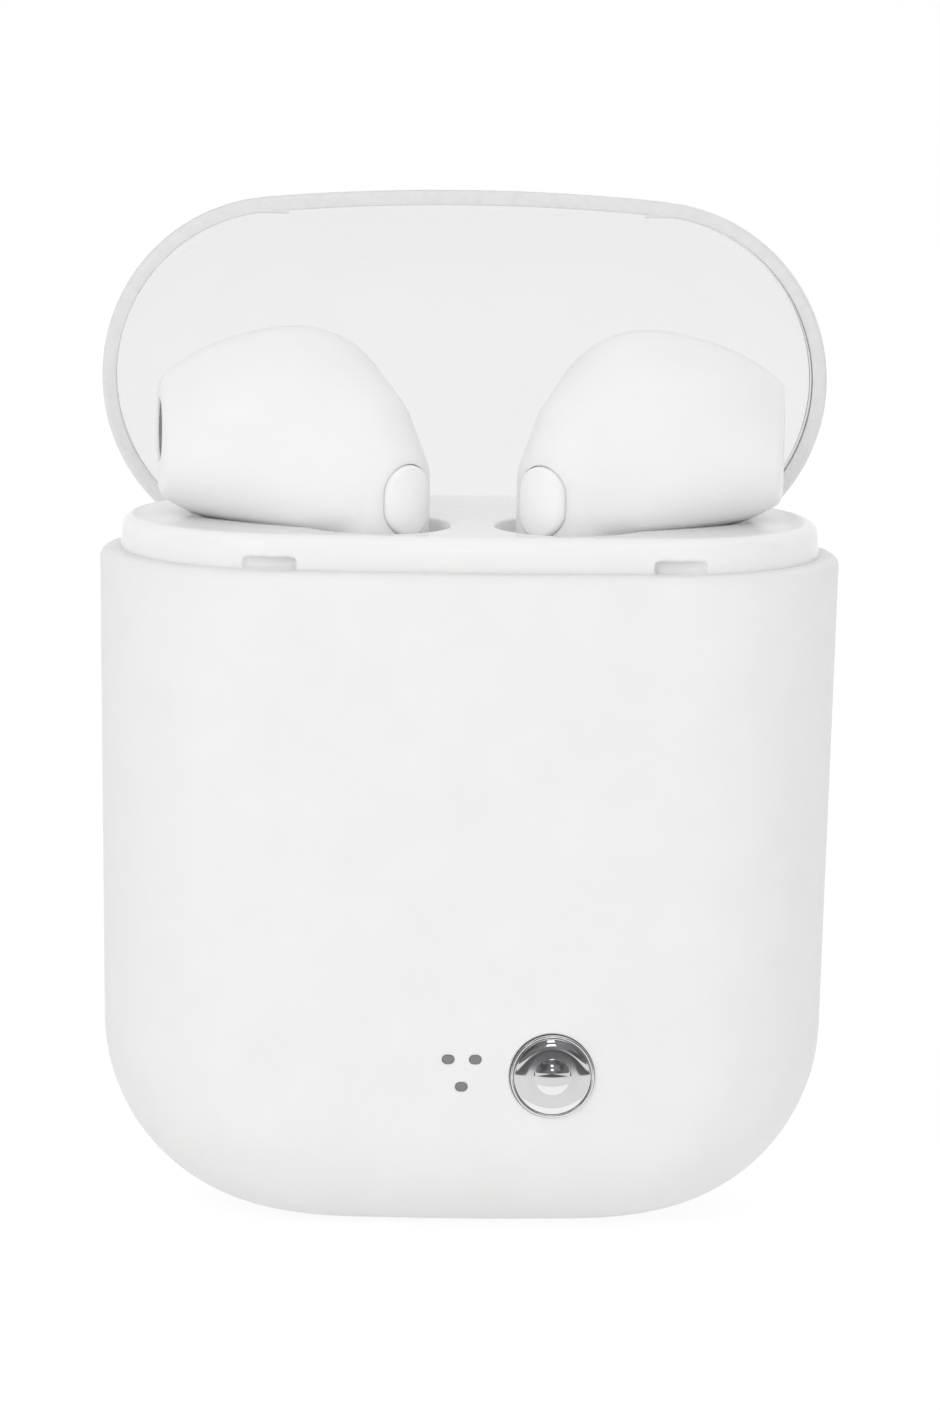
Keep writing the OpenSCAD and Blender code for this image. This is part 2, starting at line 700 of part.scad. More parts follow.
module bud_grille() {
  face_frame() translate([-grille_up, 0, -grille_t - grille_in]) difference() {
    cylinder(r = grille_r, h = grille_t);
    translate([0, 0, -1]) {
      cylinder(r = 0.2, h = 3, $fn = 24);
      for (k = [0 : 5]) rotate(k * 60) translate([0.75, 0, 0]) cylinder(r = 0.2, h = 3, $fn = 24);
      for (k = [0 : 11]) rotate(k * 30) translate([1.45, 0, 0]) cylinder(r = 0.2, h = 3, $fn = 24);
    }
  }
}

module bud_speaker() {
  nozzle_frame() translate([0, 0, 2.5]) {
    cylinder(r = 5.2, h = 1.4);
    cylinder(r = 4.2, h = 3);
  }
}

module bud_cell() {
  translate([stem_x, stem_y, stem_z + 4]) cylinder(r = bud_cavity_r - 0.25, h = 16);
}

module bud_board() {
  button_frame() translate([-2.3, -6.2, -1.1]) cube([4.6, 8.3, 0.8]);
}

module bud_end_cap() {
  translate([stem_x, stem_y, stem_z]) difference() {
    union() {
      rotate_extrude() polygon([[0, 0], [stem_r - 0.5, 0], [stem_r - 0.15, 0.15], [stem_r, 0.5],
        [stem_r, cap_t], [0, cap_t]]);
      cylinder(r = bud_cavity_r - fit, h = cap_t + 1.1);
    }
    for (dx = [-contact_dx, contact_dx]) translate([dx, 0, -1]) cylinder(r = contact_r + fit, h = 5);
    translate([0, 0, -1]) cylinder(r = 0.4, h = 5);
  }
}

module bud_contacts() {
  for (dx = [-contact_dx, contact_dx])
    translate([stem_x + dx, stem_y, stem_z]) cylinder(r = contact_r, h = cap_t + 1.5);
}

module bud_microphone() {
  translate([stem_x - 0.9, stem_y - 1.2, stem_z + cap_t + 1.15]) cube([1.8, 2.4, 0.9]);
}

module pick(side) {
  if (side > 0) children();
  else mirror([1, 0, 0]) children();
}

module board_screw() {
  cylinder(r = screw_head_r, h = screw_head_h);
  translate([0, 0, screw_head_h - eps]) cylinder(r = screw_r, h = screw_len + eps);
}

module board_screws() {
  color("silver") {
    for (side = [-1, 1])
      translate([side * boss_x, board_back + screw_head_h, boss_z]) rotate([90, 0, 0]) board_screw();
    for (y = tray_boss_y) translate([0, y, contact_board_z - screw_head_h]) board_screw();
  }
}

outer_shell();
inner_tray();
lid();
hinge_pin();
power_button();
button_ring();
button_switch();
switch_plunger();
light_guide();
status_leds();
main_board();
usb_socket();
power_chips();
battery_cell();
battery_pad();
battery_leads();
contact_board();
contact_leads();
pin_barrels();
board_screws();
contact_pin(-1, -1);  // left_outer_pin
contact_pin(-1, 1);  // left_inner_pin
contact_pin(1, -1);  // right_inner_pin
contact_pin(1, 1);  // right_outer_pin
contact_spring(-1, -1);  // left_outer_spring
contact_spring(-1, 1);  // left_inner_spring
contact_spring(1, -1);  // right_inner_spring
contact_spring(1, 1);  // right_outer_spring
color("white") pick(-1) bud_half(true);  // left_front_shell
color("white") pick(-1) bud_half(false);  // left_rear_shell
color("whitesmoke") pick(-1) bud_button();  // left_button
color("dimgray") pick(-1) bud_switch();  // left_switch
color("black") pick(-1) bud_plunger();  // left_plunger
color("dimgray") pick(-1) bud_grille();  // left_grille
color("silver") pick(-1) bud_speaker();  // left_speaker
color("silver") pick(-1) bud_cell();  // left_cell
color("green") pick(-1) bud_board();  // left_board
color("white") pick(-1) bud_end_cap();  // left_end_cap
color("gold") pick(-1) bud_contacts();  // left_contacts
color("gold") pick(-1) bud_microphone();  // left_microphone
color("white") pick(1) bud_half(true);  // right_front_shell
color("white") pick(1) bud_half(false);  // right_rear_shell
color("whitesmoke") pick(1) bud_button();  // right_button
color("dimgray") pick(1) bud_switch();  // right_switch
color("black") pick(1) bud_plunger();  // right_plunger
color("dimgray") pick(1) bud_grille();  // right_grille
color("silver") pick(1) bud_speaker();  // right_speaker
color("silver") pick(1) bud_cell();  // right_cell
color("green") pick(1) bud_board();  // right_board
color("white") pick(1) bud_end_cap();  // right_end_cap
color("gold") pick(1) bud_contacts();  // right_contacts
color("gold") pick(1) bud_microphone();  // right_microphone
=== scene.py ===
"""Looks of the wireless earbuds case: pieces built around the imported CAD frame.

Pieces are modelled in millimetres in the CAD frame and scaled to metres when they are done.
"""

import json
from math import atan2, cos, degrees, pi, radians, sin, sqrt, tan

import bmesh
import bpy
from mathutils import Matrix, Vector


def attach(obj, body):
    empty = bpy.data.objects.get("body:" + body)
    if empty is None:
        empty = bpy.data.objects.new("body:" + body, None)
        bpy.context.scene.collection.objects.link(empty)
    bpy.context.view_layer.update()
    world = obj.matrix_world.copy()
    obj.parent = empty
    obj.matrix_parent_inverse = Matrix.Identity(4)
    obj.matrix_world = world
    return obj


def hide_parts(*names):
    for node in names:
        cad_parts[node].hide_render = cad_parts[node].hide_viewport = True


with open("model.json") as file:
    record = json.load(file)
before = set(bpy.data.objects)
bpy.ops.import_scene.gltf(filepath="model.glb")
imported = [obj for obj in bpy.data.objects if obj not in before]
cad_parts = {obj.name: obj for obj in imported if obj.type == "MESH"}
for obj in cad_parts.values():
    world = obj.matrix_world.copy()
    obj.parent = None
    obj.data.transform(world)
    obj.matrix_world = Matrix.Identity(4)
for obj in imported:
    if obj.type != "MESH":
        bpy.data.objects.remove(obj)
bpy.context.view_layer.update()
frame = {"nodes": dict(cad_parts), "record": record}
nodes = frame["nodes"]
MM = 0.001

# Sizes in millimetres, as in the CAD model
HALF_W, HALF_D, BOW = 27.5, 14.15, 0.65
END_R = HALF_D - BOW
END_CX = HALF_W - END_R
BOW_T = 2 * degrees(atan2(BOW, END_CX))
BOW_R = END_CX / sin(radians(BOW_T)) + END_R
RIM_Z, WALL, DRAFT = 49.5, 1.6, 1.2
CORNER_R, BELLY_R, RIM_ROUND = 14, 8, 0.75
LID_WALL, LID_H, LID_GAP, LID_END_R, LID_SIDE_R = 1.1, 18.6, 0.25, 13.1, 8.1
LID_Z = RIM_Z + LID_GAP
LID_TOP = LID_Z + LID_H
HINGE_Y, HINGE_Z = HALF_D - 1.3, RIM_Z - 1.65
BARREL_R, PIN_R, KNUCKLE_X, EAR_LEN = 0.95, 0.5, 8.2, 2.5
EAR_X = KNUCKLE_X + 0.25
NOTCH_X, NOTCH_Z = EAR_X + EAR_LEN + 0.3, HINGE_Z - 1.5
OPEN_ANGLE = 95
LEDGE, COLLAR_H, COLLAR_ROUND, SKIRT_H = 1.5, 2.55, 1, 3
TRAY_TOP = RIM_Z + COLLAR_H
CATCH_X, CATCH_W, CATCH_H, RIDGE_OUT = 15.1, 3.9, 0.9, 0.1
STEM_X, STEM_Y, STEM_R = 7.1, -4.8, 3.9
STEM_Z, STEM_TOP = RIM_Z - 22.5, RIM_Z + 5.9
HEAD_X, HEAD_Y, HEAD_Z, HEAD_R = 13.1, 0.3, RIM_Z + 9.1, 7.5
NOZZLE_LEN, NOZZLE_A, TOE, DROOP = 10.2, 12.4, 4.4, 6.5
BUD_WALL, CAP_T = 0.9, 0.9
GRILLE_R, GRILLE_T, GRILLE_IN, GRILLE_UP, FACE_OVER = 2.3, 0.35, 0.15, 0.9, 0.8
KEY_W, KEY_H, KEY_TURN, KEY_Z = 2.0, 5.3, 38, RIM_Z + 4.65
NECK = (STEM_X + 1.3, STEM_Y + 0.3, STEM_TOP - 2)
BEND, BEND_R = (STEM_X + 1.5, STEM_Y + 1.6, STEM_TOP + 3), STEM_R + 0.3
WELL_R, MOUTH_R, MOUTH_H, WELL_FLOOR = STEM_R + 0.3, 5.5, 3.6, STEM_Z - 0.3
BED_GAP = 0.2  # between each head and its bed; the CAD model has a plain trough there
BUTTON_X, BUTTON_Z, BUTTON_R, RING_T = 6.25, 12.25, 2.85, 0.25
LED_W, LED_H, LED_MID, LED_X, LED_Z, LED_DROP = 0.9, 0.68, -0.45, 1, 13.45, 2.05
LED_GAP = 0.02
LED_SPOTS = [(LED_MID - LED_X, LED_Z), (LED_MID + LED_X, LED_Z), (LED_MID, LED_Z - LED_DROP)]
BOARD_FRONT, BOSS_X, BOSS_Z = -6.5, 11.5, 18.5
USB_Y, USB_W, USB_T = -4.25, 8.1, 3.1


def add_to_scene(name, data):
    obj = bpy.data.objects.new(name, data)
    bpy.context.scene.collection.objects.link(obj)
    return obj


# ---------------------------------------------------------------- camera
def add_camera():
    """Camera at the fitted view: turned round the case, raised above it and rolled a little."""
    azimuth, elevation, roll = radians(-2.0905), radians(8.7509), radians(0.9665)
    distance, aim = 0.75, Vector((0.000202, 0, 0.037825))
    back = Vector((sin(azimuth) * cos(elevation), -cos(azimuth) * cos(elevation), sin(elevation)))
    right = Vector((0, 0, 1)).cross(back).normalized()
    up = back.cross(right)
    tilted_right = right * cos(roll) + up * sin(roll)
    tilted_up = back.cross(tilted_right)
    data = bpy.data.cameras.new("camera")
    data.lens, data.sensor_width = 256.7, 36
    data.clip_start, data.clip_end = 0.01, 20
    camera = add_to_scene("camera", data)
    turn = Matrix((tilted_right, tilted_up, back)).transposed().to_4x4()
    camera.matrix_world = Matrix.Translation(aim + back * distance) @ turn
    bpy.context.scene.camera = camera


add_camera()


# ---------------------------------------------------------------- mesh helpers
def face_outwards(mesh, merge=0.0):
    """Turns the faces outwards, after joining vertices that lie closer than merge."""
    bm = bmesh.new()
    bm.from_mesh(mesh)
    if merge:
        bmesh.ops.remove_doubles(bm, verts=bm.verts, dist=merge)
    bmesh.ops.recalc_face_normals(bm, faces=bm.faces)
    bm.to_mesh(mesh)
    bm.free()


def new_object(name, verts, faces):
    mesh = bpy.data.meshes.new(name)
    mesh.from_pydata([tuple(v) for v in verts], [], faces)
    face_outwards(mesh)
    return add_to_scene(name, mesh)


def bake(obj):
    """Turns the object's modifiers into its mesh."""
    graph = bpy.context.evaluated_depsgraph_get()
    mesh = bpy.data.meshes.new_from_object(obj.evaluated_get(graph))
    obj.modifiers.clear()
    obj.data = mesh
    return obj


def boolean(obj, tools, operation="DIFFERENCE"):
    for tool in tools:
        modifier = obj.modifiers.new("boolean", "BOOLEAN")
        modifier.operation, modifier.object, modifier.solver = operation, tool, "EXACT"
        bake(obj)
        bpy.data.objects.remove(tool)
    return obj


def remesh(obj, voxel, rounds):
    """Even small faces, then a smoothing that rounds the edges."""
    modifier = obj.modifiers.new("remesh", "REMESH")
    modifier.mode, modifier.voxel_size = "VOXEL", voxel
    modifier = obj.modifiers.new("smooth", "SMOOTH")
    modifier.iterations, modifier.factor = rounds, 0.5
    return bake(obj)


def place(obj, matrix):
    obj.data.transform(matrix)
    if matrix.determinant() < 0:
        obj.data.flip_normals()
    return obj


def loft(name, rings):
    count = len(rings[0])
    verts = [p for r in rings for p in r]
    faces = [tuple(range(count)), tuple(range(len(verts) - count, len(verts)))]
    for k in range(len(rings) - 1):
        for i in range(count):
            j = (i + 1) % count
            faces.append((k * count + i, k * count + j, (k + 1) * count + j, (k + 1) * count + i))
    return new_object(name, verts, faces)


def lathe(name, profile, steps=96):
    """Turned solid about local Z from (radius, height) points; it closes on the axis."""
    rings = [[(r * cos(2 * pi * i / steps), r * sin(2 * pi * i / steps), h) for i in range(steps)]
             for r, h in profile]
    obj = loft(name, rings)
    face_outwards(obj.data, merge=1e-5)
    return obj


def washer(name, profile, steps=96):
    """Turned ring about local Z from a closed loop of (radius, height) points."""
    count = len(profile)
    verts = [(r * cos(2 * pi * i / steps), r * sin(2 * pi * i / steps), h)
             for i in range(steps) for r, h in profile]
    faces = []
    for i in range(steps):
        a, b = i * count, ((i + 1) % steps) * count
        faces += [(a + k, a + (k + 1) % count, b + (k + 1) % count, b + k) for k in range(count)]
    return new_object(name, verts, faces)


def block(low, high):
    (x0, y0, z0), (x1, y1, z1) = low, high
    square = [(x0, y0), (x1, y0), (x1, y1), (x0, y1)]
    return loft("block", [[(x, y, z) for x, y in square] for z in (z0, z1)])


def bar(radius, start, end, steps=48):
    """Round bar along X."""
    obj = lathe("bar", [(0, start), (radius, start), (radius, end), (0, end)], steps)
    return place(obj, Matrix.Rotation(pi / 2, 4, "Y"))


def along_y(y, x, z):
    return Matrix.Translation((x, y, z)) @ Matrix.Rotation(-pi / 2, 4, "X")


def capsule(half_width, height, steps=12):
    top = [(half_width * cos(a), height / 2 - half_width + half_width * sin(a))
           for a in [k * pi / steps for k in range(steps + 1)]]
    return top + [(-u, -v) for u, v in top]


def finish(obj, body, material, replaced=(), sharp=35):
    """Scales the piece to metres, shades it and hands it to the frame."""
    obj.data.transform(Matrix.Scale(MM, 4))
    obj.data.shade_smooth()
    obj.data.set_sharp_from_angle(angle=radians(sharp))
    obj.data.materials.clear()
    obj.data.materials.append(material)
    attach(obj, body)
    if replaced:
        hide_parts(*replaced)
    return obj


# ---------------------------------------------------------------- materials
class Shader:
    """A node material with noise-driven colour, roughness and bump."""

    def __init__(self, name, colour, rough, **sockets):
        self.material = bpy.data.materials.new(name)
        self.material.use_nodes = True
        self.tree = self.material.node_tree
        self.shader = self.tree.nodes["Principled BSDF"]
        self.colour, self.height = colour, None
        self.shader.inputs["Base Color"].default_value = (*colour, 1)
        self.shader.inputs["Roughness"].default_value = rough
        for key, value in sockets.items():
            self.shader.inputs[key.replace("_", " ")].default_value = value
        self.coords = self.tree.nodes.new("ShaderNodeTexCoord").outputs["Object"]

    def stretched(self, scale):
        node = self.tree.nodes.new("ShaderNodeMapping")
        node.inputs["Scale"].default_value = scale
        self.tree.links.new(self.coords, node.inputs["Vector"])
        return node.outputs["Vector"]

    def noise(self, scale, detail=4.0, source=None):
        node = self.tree.nodes.new("ShaderNodeTexNoise")
        node.inputs["Scale"].default_value = scale
        node.inputs["Detail"].default_value = detail
        self.tree.links.new(source or self.coords, node.inputs["Vector"])
        return node.outputs["Fac"]

    def cells(self, scale, feature="F1", source=None):
        node = self.tree.nodes.new("ShaderNodeTexVoronoi")
        node.feature = feature
        node.inputs["Scale"].default_value = scale
        self.tree.links.new(source or self.coords, node.inputs["Vector"])
        return node.outputs["Distance"]

    def band(self, value, low, high, out_low, out_high):
        node = self.tree.nodes.new("ShaderNodeMapRange")
        for key, number in (("From Min", low), ("From Max", high),
                            ("To Min", out_low), ("To Max", out_high)):
            node.inputs[key].default_value = number
        self.tree.links.new(value, node.inputs["Value"])
        return node.outputs["Result"]

    def tint(self, value, other, low=0.3, high=0.7):
        """Mixes the base colour towards another by a texture value."""
        node = self.tree.nodes.new("ShaderNodeMix")
        node.data_type = "RGBA"
        self.tree.links.new(self.band(value, low, high, 0, 1), node.inputs["Factor"])
        node.inputs["A"].default_value = (*self.colour, 1)
        node.inputs["B"].default_value = (*other, 1)
        self.tree.links.new(node.outputs["Result"], self.shader.inputs["Base Color"])
        return self

    def rough(self, value, out_low, out_high):
        self.tree.links.new(self.band(value, 0.3, 0.7, out_low, out_high), self.shader.inputs["Roughness"])
        return self

    def bump(self, value, distance):
        """Bump in metres; several may be stacked."""
        node = self.tree.nodes.new("ShaderNodeBump")
        node.inputs["Strength"].default_value = 1.0
        node.inputs["Distance"].default_value = distance
        self.tree.links.new(value, node.inputs["Height"])
        if self.height:
            self.tree.links.new(self.height, node.inputs["Normal"])
        self.height = node.outputs["Normal"]
        self.tree.links.new(self.height, self.shader.inputs["Normal"])
        return self


def moulded(name, colour, darker, rough, grain, depth, **sockets):
    """Moulded plastic: fine grain, faint mottling and uneven gloss."""
    s = Shader(name, colour, rough, **sockets)
    s.tint(s.noise(260, 3), darker)
    s.rough(s.noise(900, 4), rough * 0.88, rough * 1.12)
    return s.bump(s.noise(grain, 3), depth)


def metal(name, colour, darker, rough, stretch, depth):
    """Drawn or plated metal with fine lines along one way."""
    s = Shader(name, colour, rough, Metallic=1.0)
    lines = s.noise(1.0, 4, s.stretched(stretch))
    s.tint(lines, darker)
    s.rough(lines, rough * 0.7, rough * 1.3)
    return s.bump(lines, depth)


def make_materials():
    milky = {"Subsurface_Weight": 0.25, "Subsurface_Radius": (1, 1, 1), "Subsurface_Scale": 0.001}
    made = {
        "body_white": moulded("case_body_plastic", (0.847, 0.847, 0.842), (0.827, 0.827, 0.822),
                              0.5, 5200, 3e-6),
        "tray_white": moulded("tray_plastic", (0.885, 0.885, 0.88), (0.875, 0.875, 0.87), 0.16, 1400, 6e-7,
                              **milky),
        "bud_white": moulded("earbud_plastic", (0.88, 0.88, 0.878), (0.868, 0.868, 0.866), 0.34, 1300, 7e-7,
                             Specular_IOR_Level=0.4, **milky),
        "bud_button": moulded("earbud_key_plastic", (0.91, 0.91, 0.908), (0.9, 0.9, 0.898), 0.16, 1600, 5e-7),
        "black_plastic": moulded("black_plastic", (0.02, 0.02, 0.02), (0.03, 0.03, 0.03), 0.45, 2600, 4e-6),
        "guide_smoke": moulded("smoked_guide", (0.2, 0.2, 0.205), (0.24, 0.24, 0.245), 0.35, 2500, 1e-6),
        "led_yellow": moulded("led_gel", (0.82, 0.72, 0.28), (0.76, 0.64, 0.22), 0.3, 2500, 2e-6),
        "button_chrome": metal("button_chrome", (0.86, 0.86, 0.87), (0.83, 0.83, 0.84), 0.055,
                               (300, 300, 300), 1e-7),
        "steel": metal("drawn_steel", (0.62, 0.62, 0.64), (0.5, 0.5, 0.52), 0.28, (400, 9000, 9000), 1e-6),
        "contact_gold": metal("gold_plate", (0.83, 0.62, 0.24), (0.74, 0.53, 0.18), 0.2,
                              (3000, 3000, 600), 5e-7),
        "mesh_grey": metal("speaker_gauze", (0.2, 0.2, 0.21), (0.13, 0.13, 0.135), 0.38,
                           (6000, 6000, 6000), 2e-6),
        "cell_foil": metal("cell_foil", (0.66, 0.66, 0.68), (0.55, 0.55, 0.57), 0.3, (700, 700, 500), 2e-5),
    }
    board = Shader("solder_mask", (0.01, 0.11, 0.035), 0.35)
    tracks = board.cells(520, "DISTANCE_TO_EDGE", board.stretched((1, 1, 0.35)))
    board.tint(tracks, (0.02, 0.2, 0.06), 0.02, 0.06).bump(tracks, 8e-6)
    made["board_green"] = board.rough(board.noise(900), 0.28, 0.42)
    foam = Shader("closed_cell_foam", (0.035, 0.035, 0.037), 0.9)
    pores = foam.cells(2600)
    made["foam"] = foam.tint(pores, (0.06, 0.06, 0.062), 0.1, 0.6).bump(pores, 6e-5)
    sleeve = Shader("lead_sleeve", (0.35, 0.02, 0.015), 0.4)
    made["lead_sleeve"] = sleeve.tint(sleeve.noise(1500), (0.28, 0.015, 0.01)).bump(sleeve.noise(3000), 4e-6)
    lid = Shader("clear_polycarbonate", (0.845, 0.847, 0.85), 0.0, Transmission_Weight=1.0, IOR=1.2,
                 Specular_IOR_Level=0.2)
    lid.tint(lid.noise(40, 2), (0.835, 0.838, 0.841))
    made["lid_clear"] = lid.bump(lid.noise(120, 2), 6e-6)
    # Edge of the clear lid: its grey tone and darker streaks are painted shade standing for the light carried
    # through the clear edge; the groove bump and uneven gloss are its surface finish.
    rim = Shader("lid_edge_grey_painted_shade", (0.78, 0.78, 0.785), 0.3)
    grooves = rim.noise(1.0, 4, rim.stretched((1500, 200, 1500)))
    rim.tint(grooves, (0.73, 0.73, 0.735)).rough(grooves, 0.25, 0.45)
    made["lid_rim"] = rim.bump(grooves, 1.2e-5)
    return {key: s.material for key, s in made.items()}


materials = make_materials()
for part in frame["record"]["subparts"]:
    carried = nodes[part["node"]]
    carried.data.materials.clear()
    carried.data.materials.append(materials[part["material_slot"]])


# ---------------------------------------------------------------- plan and profiles
END_STEPS, BOW_STEPS = 48, 24
ROUND_STEP = 3.75  # degrees between the rings of the large rounds


def outline(inset):
    """Plan outline: round ends joined by bowed front and back."""
    pts = []
    for k in range(END_STEPS + 1):
        a = radians(-(90 - BOW_T) + k * (180 - 2 * BOW_T) / END_STEPS)
        pts.append((END_CX + (END_R - inset) * cos(a), (END_R - inset) * sin(a)))
    for k in range(1, BOW_STEPS):
        a = radians(90 - BOW_T + k * 2 * BOW_T / BOW_STEPS)
        pts.append(((BOW_R - inset) * cos(a), (BOW_R - inset) * sin(a) - (BOW_R - HALF_D)))
    return pts + [(-x, -y) for x, y in pts]


def ring(inset, ex, ey, z):
    """A level ring: even inset, then pulled in by ex at the ends and ey at front and back."""
    sx = (HALF_W - inset - ex) / (HALF_W - inset)
    sy = (HALF_D - inset - ey) / (HALF_D - inset)
    return [(x * sx, y * sy, z) for x, y in outline(inset)]


def quarter(r, s):
    return 0 if s >= r else r - sqrt(r * r - (r - s) ** 2)


def front_y(inset, x):
    return -(sqrt((BOW_R - inset) ** 2 - x * x) - (BOW_R - HALF_D))


def lean(z):
    return (RIM_Z - z) * tan(radians(DRAFT))


def turns(start, end, step):
    count = round(abs(end - start) / step)
    return [radians(start + (end - start) * k / count) for k in range(count + 1)]


# ---------------------------------------------------------------- case body
def hole_rings(shape, fillet, deep):
    """Rings of a hole cutter along local Z: flared at the face, then straight."""
    rings = [[(u, v, -1.0) for u, v in shape(fillet)]]
    rings += [[(u, v, fillet * (1 - cos(a))) for u, v in shape(fillet * (1 - sin(a)))]
              for a in turns(0, 90, 18)]
    return rings + [[(u, v, deep) for u, v in shape(0)]]


def led_hole(x, z):
    def lying(grown):
        return [(-v, u) for u, v in capsule(LED_H / 2 + LED_GAP + grown, LED_W + 2 * LED_GAP + 2 * grown)]

    cutter = loft("hole", hole_rings(lying, fillet=0.1, deep=3.0))
    return place(cutter, along_y(front_y(lean(z), x), x, z))


def round_hole(radius, fillet, deep):
    profile = [(0, -1.0), (radius + fillet, -1.0)]
    profile += [(radius + fillet * (1 - sin(a)), fillet * (1 - cos(a))) for a in turns(0, 90, 15)]
    return lathe("hole", profile + [(radius, deep), (0, deep)], 96)


def rounded_slot(half_u, half_v, r, steps=6):
    pts = []
    for cx, cy, start in ((1, 1, 0), (-1, 1, 90), (-1, -1, 180), (1, -1, 270)):
        pts += [(cx * (half_u - r) + r * cos(a), cy * (half_v - r) + r * sin(a))
                for a in turns(start, start + 90, 90 / steps)]
    return pts


def port_hole():
    def slot(grown):
        return rounded_slot(USB_W / 2 + grown, USB_T / 2 + grown, 0.7 + grown)

    return place(loft("hole", hole_rings(slot, fillet=0.3, deep=4.0)), Matrix.Translation((0, USB_Y, 0)))


def body_shell():
    side_levels = (18, 23, 28, 33, 38, 43, 46.5)
    boss_r, screw_r, screw_len, screw_deep = 1.7, 0.52, 5, 3.8
    notch_deep, foot_deep, pin_gap, ring_gap = 3, 0.6, 0.02, 0.05
    outer = []
    for a in turns(90, 0, ROUND_STEP):
        z = CORNER_R * (1 - sin(a))
        outer.append(ring(lean(z), quarter(CORNER_R, z), quarter(BELLY_R, z), z))
    outer += [ring(lean(z), 0, 0, z) for z in side_levels]
    outer += [ring(lean(RIM_Z - RIM_ROUND * (1 - sin(a))) + RIM_ROUND * (1 - cos(a)), 0, 0,
                   RIM_Z - RIM_ROUND * (1 - sin(a))) for a in turns(0, 90, 11.25)]
    inner = [ring(WALL, 0, 0, RIM_Z)]
    for a in turns(0, 90, 7.5):
        s = (CORNER_R - WALL) * (1 - sin(a))
        z = WALL + s
        inner.append(ring(lean(z) + WALL, quarter(CORNER_R - WALL, s), quarter(BELLY_R - WALL, s), z))
    shell = loft("case_body", outer + inner)
    boolean(shell, [block((-NOTCH_X, HALF_D - notch_deep, NOTCH_Z), (NOTCH_X, HALF_D + 3, RIM_Z + 5))])
    for side in (-1, 1):
        low = side * EAR_X if side > 0 else -EAR_X - EAR_LEN
        ear = place(bar(BARREL_R, low, low + EAR_LEN), Matrix.Translation((0, HINGE_Y, HINGE_Z)))
        foot = block((low, HINGE_Y - BARREL_R, NOTCH_Z - foot_deep),
                     (low + EAR_LEN, HINGE_Y + BARREL_R - 0.1, HINGE_Z))
        face = front_y(lean(BOSS_Z), BOSS_X) + WALL / 2
        reach = BOARD_FRONT - face
        boss = lathe("boss", [(0, 0), (boss_r, 0), (boss_r, reach), (0, reach)], 40)
        boolean(shell, [ear, foot, place(boss, along_y(face, side * BOSS_X, BOSS_Z))], "UNION")
    cuts = [place(bar(PIN_R + pin_gap, -NOTCH_X, NOTCH_X), Matrix.Translation((0, HINGE_Y, HINGE_Z)))]
    for side in (-1, 1):
        screw = lathe("hole", [(0, 0), (screw_r, 0), (screw_r, screw_len), (0, screw_len)], 32)
        cuts.append(place(screw, along_y(BOARD_FRONT - screw_deep, side * BOSS_X, BOSS_Z)))
    cuts += [led_hole(x, z) for x, z in LED_SPOTS]
    button_hole = round_hole(BUTTON_R + RING_T + ring_gap, fillet=0.12, deep=4)
    cuts.append(place(button_hole, along_y(front_y(lean(BUTTON_Z), BUTTON_X), BUTTON_X, BUTTON_Z)))
    cuts.append(port_hole())
    boolean(shell, cuts)
    return finish(shell, "case", materials["body_white"], ["outer_shell"])


# ---------------------------------------------------------------- earbud frames
def nozzle_frame():
    return (Matrix.Translation((HEAD_X, HEAD_Y, HEAD_Z)) @ Matrix.Rotation(radians(-TOE), 4, "Z")
            @ Matrix.Rotation(radians(90 + DROOP), 4, "Y"))


def face_frame():
    """The nozzle droops but its face stands upright."""
    return nozzle_frame() @ Matrix.Translation((0, 0, NOZZLE_LEN)) @ Matrix.Rotation(radians(-DROOP), 4, "Y")


def key_frame():
    return (Matrix.Translation((STEM_X, STEM_Y, KEY_Z)) @ Matrix.Rotation(radians(-KEY_TURN), 4, "Z")
            @ Matrix.Rotation(pi / 2, 4, "X"))


def nozzle_r(d):
    return HEAD_R * sqrt(1 - (d / NOZZLE_A) ** 2)


def head_profile(inset, last):
    """Half section of head and nozzle, closed on the axis."""
    r, steps = HEAD_R - inset, 24
    pts = [(r * cos(a), r * sin(a)) for a in turns(-90, -4, 4.3)]
    pts += [(nozzle_r(d) - inset, d) for d in [last * k / steps for k in range(steps + 1)]]
    return pts + [(0, last)]


def nozzle_points():
    """Points of head and nozzle up to the upright face, whose edge is rounded."""
    steps, edge_r, slope = 60, 1.2, 42
    to_face = face_frame().inverted()
    set_back = edge_r * tan(radians((90 - slope) / 2))
    points = []
    for i in range(steps):
        turn = Matrix.Rotation(2 * pi * i / steps, 4, "Z")
        line = [nozzle_frame() @ turn @ Vector((r, 0, d))
                for r, d in head_profile(0, NOZZLE_LEN + FACE_OVER)[:-1]]
        local = [to_face @ p for p in line]
        points += [p for p, q in zip(line, local) if q.z < -set_back * cos(radians(slope))]
        k = next(k for k, q in enumerate(local) if q.z > 0)
        corner = local[k - 1].lerp(local[k], local[k - 1].z / (local[k - 1].z - local[k].z))
        out = Vector((corner.x, corner.y, 0))
        middle = out.length - set_back
        points += [face_frame() @ (out.normalized() * (middle + edge_r * cos(a))
                                   + Vector((0, 0, edge_r * (sin(a) - 1))))
                   for a in turns(slope, 90, 8)]
    return points


def sphere_points(centre, radius):
    return [Vector(centre) + radius * Vector((cos(a) * cos(b), sin(a) * cos(b), sin(b)))
            for a in turns(0, 354, 6) for b in turns(-90, 90, 6)]


def hull(name, points):
    bm = bmesh.new()
    for p in points:
        bm.verts.new(p)
    out = bmesh.ops.convex_hull(bm, input=bm.verts)
    bmesh.ops.delete(bm, geom=[g for g in out["geom_interior"] if isinstance(g, bmesh.types.BMVert)],
                     context="VERTS")
    mesh = bpy.data.meshes.new(name)
    bm.to_mesh(mesh)
    bm.free()
    return add_to_scene(name, mesh)


